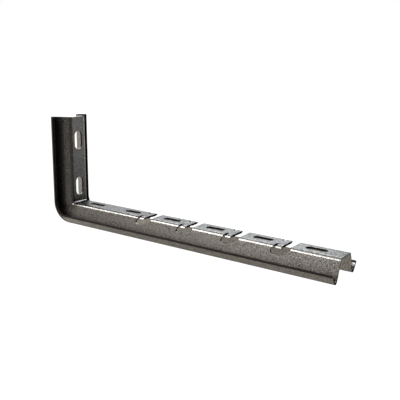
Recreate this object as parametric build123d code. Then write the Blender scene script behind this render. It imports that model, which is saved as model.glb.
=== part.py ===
from build123d import *
import os
from math import cos, radians, sin, tan

os.makedirs("parts", exist_ok=True)

# Wall bracket pressed from one sheet: an upright that bolts to the wall and an arm that carries a mesh tray.
# The origin is at the inner corner of the L, where the arm's top and the upright's front meet.
# The arm runs along +X, the upright along +Z, and the section is the same on both sides of Y = 0.

# Sheet, and the section that both legs share: a web, two walls that lean outward, and a lip folded up from each
sheet = 2.0
web_width = 20.8
channel_depth = 20.0
wall_flare = 21.5
web_fold_radius = 1.5
lip_flare = 34.5
lip_rise = 9.0
lip_fold_radius = 1.2
corner_radius = 1.0

# Arm: one round-ended slot for each bay of the tray's mesh
bay_pitch = 50.0
arm_slot_count = 6
first_arm_slot = 26.5
arm_end_margin = 25.0
arm_slot_width = 7.0
arm_slot_length = 19.5

# Upright: round-ended slots for the wall bolts
wall_slot_count = 2
wall_slot_pitch = 50.0
first_wall_slot = 17.5
upright_end_margin = 25.0
wall_slot_width = 10.5
wall_slot_length = 20.0

# Tray catches: a gap that a tray wire drops into, beside a tongue whose T head then holds the wire down.
# In the folds and walls the cuts lean back towards the upright, so that the head's ends hook over the wire.
first_catch_bay = 1
catch_count = 4
slot_to_head_edge = 23.5
wire_gap = 8.0
head_width = 5.0
head_drop = 2.1
head_lean = 1.1
kerf_width = 2.9
kerf_lean = 2.4
kerf_lean_depth = 5.2
stem_width = 9.0
pocket_depth = 7.3
pocket_floor = 7.8
pocket_corner_radius = 1.8
ramp_end_depth = 3.4
ramp_radius = 4.0

# Worked out from the sizes above
arm_slot_places = [first_arm_slot + bay * bay_pitch for bay in range(arm_slot_count)]
arm_reach = arm_slot_places[-1] + arm_end_margin
wall_slot_places = [first_wall_slot + row * wall_slot_pitch for row in range(wall_slot_count)]
upright_height = wall_slot_places[-1] + upright_end_margin
first_head_edge = first_arm_slot + first_catch_bay * bay_pitch + slot_to_head_edge
kerf_edge = -head_width - kerf_width
kerf_middle = -head_width - kerf_width / 2
kerf_inner_end = (stem_width + kerf_width) / 2
head_edge_places = [first_head_edge + catch * bay_pitch for catch in range(catch_count)]
web_outer_radius = web_fold_radius + sheet
flat_half_web = web_width / 2 - web_outer_radius * tan(radians(90 - wall_flare) / 2)
clear_side = web_width + channel_depth


def section_path():
    """Outer face of the section as an open line with arcs at its folds, from one lip's edge to the other's."""
    half_fold = radians(wall_flare + lip_flare) / 2
    fold_tilt = radians(lip_flare - wall_flare) / 2
    fold_centre = -channel_depth + sheet + lip_fold_radius
    root_height = fold_centre - lip_fold_radius * cos(fold_tilt) / sin(half_fold)
    root_side = web_width / 2 - root_height * tan(radians(wall_flare))
    edge_height = -channel_depth + lip_rise
    edge_side = root_side + (edge_height - root_height) * tan(radians(lip_flare))
    right_half = [(web_width / 2, 0), (root_side, root_height), (edge_side, edge_height)]
    left_half = [(-side, height) for side, height in reversed(right_half)]
    fold_radii = [lip_fold_radius, web_outer_radius, web_outer_radius, lip_fold_radius]
    return FilletPolyline(*left_half, *right_half, radius=fold_radii)


def bent_channel():
    """Arm and upright as one channel of constant section, folded round the inner corner of the L."""
    with BuildPart() as channel:
        with BuildLine() as spine:
            FilletPolyline((arm_reach, 0, 0), (0, 0, 0), (0, 0, upright_height), radius=corner_radius)
        with BuildSketch(Plane((arm_reach, 0, 0), x_dir=(0, 1, 0), z_dir=(1, 0, 0))):
            with BuildLine():
                offset(section_path(), amount=sheet, side=Side.RIGHT, closed=True)
            make_face()
        sweep(path=spine.wires()[0])
    return channel.part


def web_slots():
    """Slots through the web, along the arm and up the upright."""
    with BuildPart() as slots:
        with BuildSketch(Plane.XY):
            with Locations(*[(place, 0) for place in arm_slot_places]):
                SlotOverall(arm_slot_length, arm_slot_width)
        extrude(amount=sheet, both=True)
        with BuildSketch(Plane.YZ):
            with Locations(*[(0, place) for place in wall_slot_places]):
                SlotOverall(wall_slot_length, wall_slot_width, rotation=90)
        extrude(amount=sheet, both=True)
    return slots.part


def catch_web_cut():
    """Cut through the flat of the web for one catch: the gap, and a round-ended kerf on each side of the stem."""
    with BuildPart() as cut:
        with BuildSketch(Plane.XY):
            with Locations((wire_gap / 2, 0)):
                Rectangle(wire_gap, 2 * flat_half_web)
            for side in (-1, 1):
                with Locations((kerf_middle, side * kerf_inner_end)):
                    Circle(kerf_width / 2)
                with Locations((kerf_middle, side * (kerf_inner_end + flat_half_web) / 2)):
                    Rectangle(kerf_width, flat_half_web - kerf_inner_end)
        extrude(amount=sheet, both=True)
    return cut.part


def catch_side_cut():
    """Cut through the folds and walls for one catch: kerfs, gap, and the pocket with its ramp under the head.

    X is measured from the free edge of the tongue's head.
    """
    pocket_end = kerf_edge - kerf_lean
    outline = [
        (kerf_edge, sheet),
        (kerf_edge, 0),
        (pocket_end, -kerf_lean_depth),
        (pocket_end, -pocket_depth),
        (pocket_end + pocket_floor, -pocket_depth),
        (wire_gap, -ramp_end_depth),
        (wire_gap, sheet),
        (0, sheet),
        (0, 0),
        (-head_lean, -head_drop),
        (-head_lean - head_width, -head_drop),
        (-head_width, 0),
        (-head_width, sheet),
    ]
    outline_radii = [0, 0, 0, pocket_corner_radius, ramp_radius, 0, 0, 0, 0, 0, 0, 0, 0]
    with BuildPart() as cut:
        for side in (-1, 1):
            with BuildSketch(Plane.XZ.offset(side * flat_half_web)):
                with BuildLine():
                    FilletPolyline(*outline, radius=outline_radii, close=True)
                make_face()
            extrude(amount=side * clear_side)
    return cut.part


def wall_bracket():
    with BuildPart() as bracket:
        add(bent_channel())
        add(web_slots(), mode=Mode.SUBTRACT)
        with Locations(*[(place, 0, 0) for place in head_edge_places]):
            add(catch_web_cut(), mode=Mode.SUBTRACT)
            add(catch_side_cut(), mode=Mode.SUBTRACT)
    return bracket.part


bracket = wall_bracket()
bracket.label = "wall_bracket"
export_step(bracket, "parts/wall_bracket.step")
print("reach", arm_reach, "height", upright_height, "volume", bracket.volume)
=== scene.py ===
from math import cos, radians, sin, tan

import bpy
from mathutils import Matrix, Vector


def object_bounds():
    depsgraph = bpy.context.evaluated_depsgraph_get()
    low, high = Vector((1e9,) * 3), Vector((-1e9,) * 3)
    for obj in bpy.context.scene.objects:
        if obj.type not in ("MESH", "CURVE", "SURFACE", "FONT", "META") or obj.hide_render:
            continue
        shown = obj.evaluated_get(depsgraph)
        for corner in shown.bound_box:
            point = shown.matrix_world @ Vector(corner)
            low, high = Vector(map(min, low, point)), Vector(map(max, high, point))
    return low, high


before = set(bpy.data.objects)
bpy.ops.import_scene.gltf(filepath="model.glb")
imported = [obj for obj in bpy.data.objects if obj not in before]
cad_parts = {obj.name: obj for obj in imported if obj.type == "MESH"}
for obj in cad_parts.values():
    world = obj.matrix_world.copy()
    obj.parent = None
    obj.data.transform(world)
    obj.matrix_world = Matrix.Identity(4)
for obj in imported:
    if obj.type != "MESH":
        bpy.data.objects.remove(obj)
cad_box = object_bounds()

# Places on the folded sheet, in millimetres: depth is behind the web's face, aside is from the middle
arm_reach = cad_box[1][0] * 1000
corner_radius = 1.0
flat_half_web = 8.0
wall_foot_aside = 16.5
lip_foot_aside = 18.5
lip_edge_aside = 20.0
lip_edge_depth = 11.0
groove_depth = 17.0
pocket_top = 2.5
pocket_bottom = 8.5
pocket_aside = 16.0
crease_reach = 9.0

# Mottle of the zinc, for each metre
grain_scale = 1150.0
cloud_scale = 420.0

# Colours of the metal, and of the shade and highlights painted on it
web_dark_grain = (0.055, 0.054, 0.052)
web_light_grain = (0.2, 0.195, 0.185)
web_even_tone = (0.12, 0.118, 0.112)
side_dark_grain = (0.07, 0.065, 0.06)
side_light_grain = (0.19, 0.178, 0.164)
# Painted shade, laid towards the grooves, where the walls turn and in the inner crease
painted_shade = (0.03, 0.026, 0.022)
# Cut steel, darkened to near black with painted shade
cut_steel_and_shade = (0.024, 0.021, 0.0185)
# Painted highlight on cut faces
painted_highlight = (0.5, 0.48, 0.45)

# Colours of the lamps
cool_white = (0.94, 0.97, 1)
cold_white = (0.86, 0.92, 1)

# The studio's lamps and cards stand round the bracket's middle. Metres.
studio_middle = Vector((0.15, 0, 0))
studio_radius = 1.5
floor_height = -1.6
floor_width = 60

# The photograph's camera, from a fit to the bracket's corners and slot ends. Its place is in metres, its
# turns are in degrees, its lens is in millimetres and its shift is in widths of the frame.
camera_place = (0.47021, -0.45765, 0.15765)
camera_round = 37.445
camera_down = 13.194
camera_tilt = 0.085
camera_lens = 54.74
camera_sensor = 36.0
camera_shift = (0.0827, -0.0092)


# Shader maths

class Value:
    """A socket or a plain number in a shader. Python expressions on values add Math nodes."""

    def __init__(self, graph, source):
        self.graph = graph
        self.source = source

    def maths(self, operation, *others):
        inputs = dict(enumerate((self, *others)))
        return self.graph.node("ShaderNodeMath", {"operation": operation}, inputs)

    def __add__(self, other):
        return self.maths("ADD", other)

    def __sub__(self, other):
        return self.maths("SUBTRACT", other)

    def __mul__(self, other):
        return self.maths("MULTIPLY", other)

    def __truediv__(self, other):
        return self.maths("DIVIDE", other)

    def __radd__(self, other):
        return self + other

    def __rsub__(self, other):
        return Value(self.graph, other).maths("SUBTRACT", self)

    def __rmul__(self, other):
        return self * other

    def __abs__(self):
        return self.maths("ABSOLUTE")

    def over(self, limit):
        return self.maths("GREATER_THAN", limit)

    def under(self, limit):
        return self.maths("LESS_THAN", limit)

    def most(self, other):
        return self.maths("MAXIMUM", other)

    def ramp(self, start, end):
        """0 at start, 1 at end, smooth between."""
        settings = {"interpolation_type": "SMOOTHSTEP"}
        inputs = {"Value": self, "From Min": start, "From Max": end}
        return self.graph.node("ShaderNodeMapRange", settings, inputs)


class Graph:
    """The nodes of one material or of the world."""

    def __init__(self, owner):
        owner.use_nodes = True
        self.tree = owner.node_tree
        self.tree.nodes.clear()

    def node(self, kind, settings=None, inputs=None, output=0):
        """Adds a node, sets it up, then gives its sockets their values or links."""
        made = self.tree.nodes.new(kind)
        for name, setting in (settings or {}).items():
            setattr(made, name, setting)
        for socket, given in (inputs or {}).items():
            given = given.source if isinstance(given, Value) else given
            if isinstance(given, bpy.types.NodeSocket):
                self.tree.links.new(given, made.inputs[socket])
            else:
                made.inputs[socket].default_value = given
        return Value(self, made.outputs[output]) if len(made.outputs) else made

    def outputs(self, kind, inputs=None):
        """Adds a node and gives its outputs by name."""
        made = self.node(kind, inputs=inputs).source.node
        return {socket.name: Value(self, socket) for socket in made.outputs}

    def parts(self, vector):
        """The three numbers of a vector."""
        split = self.outputs("ShaderNodeSeparateXYZ", {"Vector": vector})
        return [split[axis] for axis in "XYZ"]

    def colour(self, amount, first, second):
        """Colours that are triples or values, mixed by amount."""
        ends = [end if isinstance(end, Value) else (*end, 1) for end in (first, second)]
        inputs = {0: amount, 6: ends[0], 7: ends[1]}
        return self.node("ShaderNodeMix", {"data_type": "RGBA"}, inputs, output=2)


# The sheet's finish

class SheetPlace:
    """Where a point of the sheet lies, in millimetres, and which way it faces.

    Depth, outward and along follow the sheet round the corner of the L. Outward is how squarely the surface
    faces out from the web, and along is how squarely it faces along the leg. Outer_side is 1 on the outside
    of the section, and arm_end is 1 near the arm's free end, fading towards the lips.
    """

    def __init__(self, graph):
        coordinates = graph.outputs("ShaderNodeTexCoord")
        self.position = coordinates["Object"]
        self.along_arm, across, self.up = [part * 1000 for part in graph.parts(self.position)]
        facing_along_arm, facing_across, self.facing_up = graph.parts(coordinates["Normal"])
        behind_upright = (corner_radius - self.along_arm).most(0)
        below_arm = (corner_radius - self.up).most(0)
        from_corner = (behind_upright * behind_upright + below_arm * below_arm).maths("SQRT")
        self.depth = from_corner - corner_radius
        self.aside = abs(across)
        self.outward = (facing_along_arm * behind_upright + self.facing_up * below_arm) / from_corner
        self.along = abs((facing_along_arm * below_arm - self.facing_up * behind_upright) / from_corner)
        self.outer_side = (across * facing_across).over(0)
        self.arm_end = self.along_arm.over(arm_reach - 0.5) * self.depth.ramp(14, 10)


def even_share(place):
    """How far the web's mottle is evened out: by half on the upright, which is fainter in the photograph."""
    return place.up.ramp(corner_radius, corner_radius + 10) * 0.5


def painted_shade_amount(place, fine_tone):
    """How much shade is painted on the skin: outside towards the groove over the lip, where the walls turn,
    and in the crease of the inner corner. Outside, it is thickest on the dark grains. The painted crease is
    darker on the arm."""
    outer_wall = place.outer_side * place.aside.ramp(lip_foot_aside, wall_foot_aside)
    to_groove = place.depth.ramp(6, groove_depth) * 0.4 + place.depth.ramp(11, 15) * 0.2
    turned_wall = place.along_arm.ramp(1, 0) * place.up.ramp(0, -4) * place.depth.ramp(1, 3) * 0.65
    from_corner = place.along_arm.most(place.up)
    past_bend = from_corner.over(corner_radius + 0.02) * place.depth.under(0.5)
    crease_strength = 0.95 - place.up.over(corner_radius) * 0.3
    crease = from_corner.ramp(crease_reach, 3) * past_bend * crease_strength
    return (outer_wall * to_groove.most(turned_wall) * (1.35 - 0.7 * fine_tone)).most(crease)


def cut_and_shaded_faces(place):
    """1 on the dull faces cut through the sheet: the catches' kerfs, the slots' sides and the lips' edges.
    Their near-black colour is partly the cut steel and partly painted shade.
    """
    kerfs = place.along.ramp(0.75, 0.9)
    slot_sides = (1 - abs(place.outward).ramp(0.4, 0.6)) * place.aside.under(flat_half_web)
    lip_edges = place.depth.ramp(lip_edge_depth + 2, lip_edge_depth + 1.2) * place.aside.over(lip_edge_aside)
    return (kerfs.most(slot_sides) * (1 - place.arm_end)).most(lip_edges)


def painted_highlight_faces(place):
    """1 where a highlight is painted: on the catches' pocket rims, the arm's free end and the wall slots'
    feet.
    """
    between_depths = place.depth.over(pocket_top) * place.depth.under(pocket_bottom)
    in_pocket = between_depths * place.aside.under(pocket_aside)
    pocket_rims = place.outward.ramp(0.5, 0.7) * in_pocket
    in_wall_slot = place.up.over(corner_radius + 2) * place.aside.under(flat_half_web)
    slot_feet = place.facing_up.ramp(0.5, 0.8) * in_wall_slot
    return pocket_rims.most(place.arm_end * place.along).most(slot_feet)


def galvanised_steel():
    material = bpy.data.materials.new("galvanised_steel")
    graph = Graph(material)
    place = SheetPlace(graph)
    grain_inputs = {"Vector": place.position, "Scale": grain_scale, "Detail": 2.0, "Roughness": 0.6}
    cloud_inputs = {"Vector": place.position, "Scale": cloud_scale, "Detail": 2.0}
    grain = graph.node("ShaderNodeTexNoise", inputs=grain_inputs)
    cloud = graph.node("ShaderNodeTexNoise", inputs=cloud_inputs)
    fine_tone = grain.ramp(0.36, 0.66)
    web_tone = fine_tone * 0.4 + cloud.ramp(0.38, 0.62) * 0.6
    cut_and_shaded = cut_and_shaded_faces(place)
    mottled_web = graph.colour(web_tone, web_dark_grain, web_light_grain)
    web_skin = graph.colour(even_share(place), mottled_web, web_even_tone)
    side_skin = graph.colour(fine_tone, side_dark_grain, side_light_grain)
    colour = graph.colour(place.depth.ramp(0, 1), web_skin, side_skin)
    # Painted shade towards the grooves, where the walls turn and in the inner crease
    colour = graph.colour(painted_shade_amount(place, fine_tone), colour, painted_shade)
    # Cut faces: partly duller cut steel, partly painted shade
    colour = graph.colour(cut_and_shaded, colour, cut_steel_and_shade)
    # Painted highlights on the pocket rims, the arm's free end and the wall slots' feet
    colour = graph.colour(painted_highlight_faces(place), colour, painted_highlight)
    bump = graph.node("ShaderNodeBump", inputs={"Strength": 0.06, "Distance": 0.0004, "Height": fine_tone})
    surface = graph.node("ShaderNodeBsdfPrincipled", inputs={
        "Base Color": colour,
        "Metallic": 1.0,
        "Roughness": 0.25 + grain * 0.06 + cut_and_shaded * 0.6,
        "Specular Tint": (0.5, 0.5, 0.5, 1),
        "Normal": bump,
    })
    graph.node("ShaderNodeOutputMaterial", inputs={"Surface": surface})
    return material


def dress_bracket():
    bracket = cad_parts["wall_bracket"]
    bracket.data.materials.clear()
    bracket.data.materials.append(galvanised_steel())


# Studio

def backdrop_share(graph):
    """1 for a ray from the camera, a mirror or glass, which sees the white backdrop."""
    path = graph.outputs("ShaderNodeLightPath")
    return path["Is Camera Ray"].most(path["Is Glossy Ray"]).most(path["Is Transmission Ray"])


def white_world():
    world = bpy.data.worlds.new("studio")
    bpy.context.scene.world = world
    graph = Graph(world)
    lighting = graph.node("ShaderNodeBackground", inputs={"Color": (1, 1, 1, 1), "Strength": 0.8})
    backdrop = graph.node("ShaderNodeBackground", inputs={"Color": (1, 1, 1, 1), "Strength": 1.0})
    surface = graph.node("ShaderNodeMixShader", inputs={0: backdrop_share(graph), 1: lighting, 2: backdrop})
    graph.node("ShaderNodeOutputWorld", inputs={"Surface": surface})


def white_floor():
    bpy.ops.mesh.primitive_plane_add(size=floor_width, location=(0, 0, floor_height))
    floor = bpy.context.object
    floor.name = "floor"
    material = bpy.data.materials.new("floor_white")
    graph = Graph(material)
    paper = graph.node("ShaderNodeBsdfDiffuse", inputs={"Color": (0.8, 0.8, 0.8, 1)})
    glow = graph.node("ShaderNodeEmission", inputs={"Color": (1, 1, 1, 1), "Strength": 1.4})
    surface = graph.node("ShaderNodeMixShader", inputs={0: 0.6 * backdrop_share(graph), 1: paper, 2: glow})
    graph.node("ShaderNodeOutputMaterial", inputs={"Surface": surface})
    floor.data.materials.append(material)


def stand(thing, azimuth, elevation):
    """Puts a lamp or card round the bracket's middle, facing it, by angles in degrees: azimuth from +X."""
    flat = cos(radians(elevation))
    away = Vector((cos(radians(azimuth)) * flat, sin(radians(azimuth)) * flat, sin(radians(elevation))))
    thing.location = studio_middle + studio_radius * away
    thing.rotation_euler = away.to_track_quat("Z", "Y").to_euler()


def soft_box(name, azimuth, elevation, width, height, watts, colour=(1, 1, 1)):
    light = bpy.data.lights.new(name, "AREA")
    light.shape = "RECTANGLE"
    light.size = width
    light.size_y = height
    light.energy = watts
    light.color = colour
    lamp = bpy.data.objects.new(name, light)
    stand(lamp, azimuth, elevation)
    bpy.context.scene.collection.objects.link(lamp)


def card_paper(name, shade):
    material = bpy.data.materials.new(name)
    graph = Graph(material)
    surface = graph.node("ShaderNodeEmission", inputs={"Color": (*shade, 1), "Strength": 1.0})
    graph.node("ShaderNodeOutputMaterial", inputs={"Surface": surface})
    return material


def reflected_only(card):
    """A card that shows in the metal and casts no shade on the set."""
    card.visible_camera = False
    card.visible_diffuse = False
    card.visible_shadow = False
    card.visible_transmission = False
    card.visible_volume_scatter = False


def flat_card(name, azimuth, elevation, width, height, shade):
    bpy.ops.mesh.primitive_plane_add(size=1)
    card = bpy.context.object
    card.name = name
    card.scale = (width, height, 1)
    stand(card, azimuth, elevation)
    card.data.materials.append(card_paper(name, shade))
    reflected_only(card)


def curved_card(name, azimuths, elevations, shade):
    """A card that stands round the bracket, between two azimuths and two elevations in degrees."""
    steps = 24
    bottom, top = (studio_radius * tan(radians(elevation)) for elevation in elevations)
    first, last = azimuths
    corners, faces = [], []
    for step in range(steps + 1):
        angle = radians(first + (last - first) * step / steps)
        x, y = studio_radius * cos(angle), studio_radius * sin(angle)
        corners += [studio_middle + Vector((x, y, bottom)), studio_middle + Vector((x, y, top))]
    for start in range(0, 2 * steps, 2):
        faces.append((start, start + 1, start + 3, start + 2))
    mesh = bpy.data.meshes.new(name)
    mesh.from_pydata(corners, [], faces)
    card = bpy.data.objects.new(name, mesh)
    bpy.context.scene.collection.objects.link(card)
    card.data.materials.append(card_paper(name, shade))
    reflected_only(card)


def lamps():
    soft_box("front_box", azimuth=228, elevation=44, width=1.1, height=0.62, watts=35, colour=cool_white)
    soft_box("side_box", azimuth=210, elevation=29, width=0.3, height=0.25, watts=3.5)
    soft_box("back_box", azimuth=125, elevation=34, width=1.0, height=0.85, watts=17.5, colour=cold_white)
    soft_box("corner_box", azimuth=75, elevation=42, width=1.0, height=0.5, watts=19, colour=cold_white)


def cards():
    """The flags are dark and give the metal its dark bands. The panels and the sheet are light."""
    flat_card("high_flag", azimuth=176, elevation=46, width=1.2, height=0.45, shade=(0.02, 0.02, 0.02))
    flat_card("top_panel", azimuth=176, elevation=72, width=1.4, height=0.7, shade=(1.6, 1.6, 1.6))
    curved_card("side_flag", azimuths=(143, 171), elevations=(-40, 35), shade=(0.1, 0.1, 0.1))
    curved_card("floor_flag", azimuths=(32, 80), elevations=(-60, -11), shade=(0.2, 0.2, 0.2))
    curved_card("wedge_flag", azimuths=(20, 68), elevations=(8, 26), shade=(0.05, 0.05, 0.05))
    curved_card("fold_panel", azimuths=(84, 108), elevations=(-9, 2), shade=(5.0, 5.0, 5.2))
    curved_card("front_flag", azimuths=(-98, 32), elevations=(-30, 60), shade=(0.25, 0.25, 0.24))
    curved_card("low_flag", azimuths=(-108, -98), elevations=(-30, 4), shade=(0.1, 0.1, 0.1))
    curved_card("corner_flag", azimuths=(-123, -98), elevations=(4, 16), shade=(0.06, 0.06, 0.06))
    curved_card("low_panel", azimuths=(-187, -108), elevations=(-45, 4), shade=(2.6, 2.53, 2.4))
    curved_card("middle_panel", azimuths=(-133, -123), elevations=(4, 16), shade=(0.85, 0.8, 0.72))
    curved_card("high_panel", azimuths=(-133, -98), elevations=(16, 27), shade=(1.2, 1.11, 0.98))
    curved_card("left_panel", azimuths=(-187, -133), elevations=(4, 27), shade=(0.38, 0.35, 0.31))
    flat_card("warm_sheet", azimuth=0, elevation=-90, width=4, height=4, shade=(1.28, 1.23, 1.15))


def photo_camera():
    camera_data = bpy.data.cameras.new("photo_camera")
    camera = bpy.data.objects.new("photo_camera", camera_data)
    bpy.context.scene.collection.objects.link(camera)
    camera_data.sensor_width = camera_sensor
    camera_data.lens = camera_lens
    camera_data.shift_x, camera_data.shift_y = camera_shift
    camera_data.clip_start = 0.01
    turned = Matrix.Rotation(radians(camera_round), 4, "Z")
    lowered = Matrix.Rotation(radians(90 - camera_down), 4, "X")
    tilted = Matrix.Rotation(radians(camera_tilt), 4, "Z")
    camera.matrix_world = Matrix.Translation(camera_place) @ turned @ lowered @ tilted
    bpy.context.scene.camera = camera


dress_bracket()
white_world()
white_floor()
lamps()
cards()
photo_camera()
bpy.context.scene.view_settings.view_transform = "Standard"
